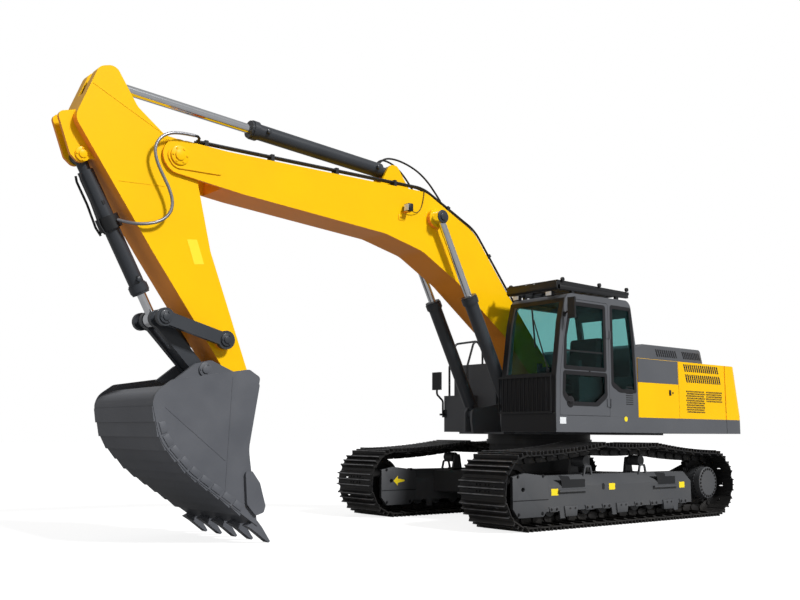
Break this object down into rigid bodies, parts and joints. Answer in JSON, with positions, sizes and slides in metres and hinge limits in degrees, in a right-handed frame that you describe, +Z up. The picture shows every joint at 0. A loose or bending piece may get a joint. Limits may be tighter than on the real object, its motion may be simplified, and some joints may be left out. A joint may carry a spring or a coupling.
{
  "type": "crawler excavator",
  "caption": "Crawler excavator on steel tracks with a slewing upper structure, cab, bent boom, arm and bucket worked by cylinders.",
  "frame": {"origin": "on the ground under the middle of the whole outline; the swing axis is 1.985 m behind it", "axes": "+X forward along the tracks and the boom, +Y to the left side where the cab is, +Z up"},
  "size_m": [10.8915, 3.39, 5.0823],
  "materials": {
    "bare_steel": "rough",
    "chrome": "polished",
    "dark_paint": "satin",
    "engine": "rough",
    "fabric": "woven",
    "glass": "tinted",
    "grey_paint": "satin",
    "plastic": "grained",
    "rubber": "matt",
    "yellow_paint": "gloss"
  },
  "bodies": {
    "undercarriage": {"car_body": "dark_paint", "slew_ring_lower": "bare_steel", "track_frame_left": "dark_paint", "track_frame_right": "dark_paint", "track_left": "bare_steel", "track_right": "bare_steel", "sprocket_left": "dark_paint", "sprocket_right": "dark_paint", "idler_left": "dark_paint", "idler_right": "dark_paint", "final_drive_left": "dark_paint", "final_drive_right": "dark_paint", "track_rollers_left": "dark_paint", "track_rollers_right": "dark_paint", "carrier_rollers_left": "dark_paint", "carrier_rollers_right": "dark_paint"},
    "house": {"slew_ring_upper": "bare_steel", "main_frame": "grey_paint", "counterweight": "yellow_paint", "weight_skirt": "grey_paint", "engine_block": "engine", "machine_room": "grey_paint", "fuel_tank": "grey_paint", "hydraulic_tank": "grey_paint", "tool_box": "grey_paint", "cab_frame": "grey_paint", "cab_glass": "glass", "seat": "fabric", "consoles": "plastic", "roof_guard": "dark_paint", "front_guard": "dark_paint", "mirrors": "plastic", "handrails": "dark_paint"},
    "cab_door": {"cab_door": "grey_paint", "door_glass": "glass"},
    "side_door": {"side_door": "yellow_paint"},
    "cooler_door": {"cooler_door": "yellow_paint"},
    "pump_door": {"pump_door": "yellow_paint"},
    "engine_hood": {"engine_hood": "grey_paint"},
    "boom": {"boom": "yellow_paint", "boom_pipes": "rubber", "arm_hose_left": "rubber", "arm_hose_right": "rubber"},
    "boom_cylinders": {"boom_cylinder_left": "grey_paint", "boom_cylinder_right": "grey_paint"},
    "boom_rods": {"boom_rod_left": "chrome", "boom_rod_right": "chrome"},
    "arm": {"arm": "yellow_paint", "bucket_hose": "rubber"},
    "arm_cylinder": {"arm_cylinder": "grey_paint"},
    "arm_rod": {"arm_rod": "chrome"},
    "bucket_cylinder": {"bucket_cylinder": "grey_paint", "cylinder_pipes": "rubber"},
    "bucket_rod": {"bucket_rod": "chrome"},
    "rocker": {"rocker": "dark_paint"},
    "bucket_link": {"bucket_link": "dark_paint"},
    "bucket": {"bucket": "grey_paint", "bucket_teeth": "bare_steel", "side_cutters": "grey_paint"}
  },
  "joints": [
    {"name": "swing", "type": "hinge", "parent": "undercarriage", "child": "house", "pos_m": [-1.985, 0, 1.1], "axis": [0, 0, 1], "continuous": true},
    {"name": "cab_door_hinge", "type": "hinge", "parent": "house", "child": "cab_door", "pos_m": [-1.794, 1.511, 1.8], "axis": [0, 0, 1], "range_deg": [0, 150]},
    {"name": "side_door_hinge", "type": "hinge", "parent": "house", "child": "side_door", "pos_m": [-2.445, 1.477, 1.8], "axis": [0, 0, 1], "range_deg": [-100, 0]},
    {"name": "cooler_door_hinge", "type": "hinge", "parent": "house", "child": "cooler_door", "pos_m": [-4.649, 1.477, 1.8], "axis": [0, 0, 1], "range_deg": [0, 100]},
    {"name": "pump_door_hinge", "type": "hinge", "parent": "house", "child": "pump_door", "pos_m": [-3.451, -1.477, 1.8], "axis": [0, 0, 1], "range_deg": [0, 100]},
    {"name": "hood_hinge", "type": "hinge", "parent": "house", "child": "engine_hood", "pos_m": [-3.07, 0, 2.2725], "axis": [0, 1, 0], "range_deg": [0, 55]},
    {"name": "boom_lift", "type": "hinge", "parent": "house", "child": "boom", "pos_m": [-1.835, 0, 1.98], "axis": [0, -1, 0], "range_deg": [-64, 40]},
    {"name": "boom_cylinder_tilt", "type": "hinge", "parent": "house", "child": "boom_cylinders", "pos_m": [-1.005, 0, 1.46], "axis": [0, -1, 0], "range_deg": [-67.05, 42.09]},
    {"name": "boom_cylinder_slide", "type": "slide", "parent": "boom_cylinders", "child": "boom_rods", "axis": [0.4567, 0, 0.8896], "range_m": [-0.909, 0.5696]},
    {"name": "arm_swing", "type": "hinge", "parent": "boom", "child": "arm", "pos_m": [4.135, 0, 4.225], "axis": [0, 1, 0], "range_deg": [-80, 12], "deforming": ["bucket_hose"]},
    {"name": "arm_cylinder_tilt", "type": "hinge", "parent": "boom", "child": "arm_cylinder", "pos_m": [0.945, 0, 4.67], "axis": [0, -1, 0], "range_deg": [-1.61, 7.9], "deforming": ["arm_hose_left", "arm_hose_right"]},
    {"name": "arm_cylinder_slide", "type": "slide", "parent": "arm_cylinder", "child": "arm_rod", "axis": [0.9976, 0, 0.0697], "range_m": [-1.331, 0.2031]},
    {"name": "bucket_curl", "type": "hinge", "parent": "arm", "child": "bucket", "pos_m": [3.255, 0, 1.66], "axis": [0, 1, 0], "range_deg": [-12, 150]},
    {"name": "rocker_turn", "type": "hinge", "parent": "arm", "child": "rocker", "pos_m": [3.505, 0, 2.2], "axis": [0, 1, 0], "range_deg": [-8.28, 97.81]},
    {"name": "link_turn", "type": "hinge", "parent": "rocker", "child": "bucket_link", "pos_m": [4.245, 0, 2.4], "axis": [0, 1, 0], "range_deg": [-74.58, 6.43]},
    {"name": "bucket_cylinder_tilt", "type": "hinge", "parent": "arm", "child": "bucket_cylinder", "pos_m": [5.165, 0, 4.07], "axis": [0, 1, 0], "range_deg": [-2.19, 0.64]},
    {"name": "bucket_cylinder_slide", "type": "slide", "parent": "bucket_cylinder", "child": "bucket_rod", "axis": [-0.4825, 0, -0.8759], "range_m": [-0.0958, 1.1517]}
  ],
  "couplings": [
    {"joint": "boom_cylinder_tilt", "follows": "boom_lift", "ratio": 1.0398},
    {"joint": "boom_cylinder_slide", "follows": "boom_lift", "m_per_rad": 0.81022},
    {"joint": "arm_cylinder_tilt", "follows": "arm_swing", "ratio": -0.0925},
    {"joint": "arm_cylinder_slide", "follows": "arm_swing", "m_per_rad": 0.95042},
    {"joint": "rocker_turn", "follows": "bucket_curl", "ratio": 0.6487},
    {"joint": "link_turn", "follows": "bucket_curl", "ratio": -0.4939},
    {"joint": "bucket_cylinder_tilt", "follows": "bucket_curl", "ratio": -0.0113},
    {"joint": "bucket_cylinder_slide", "follows": "bucket_curl", "m_per_rad": 0.4384}
  ]
}
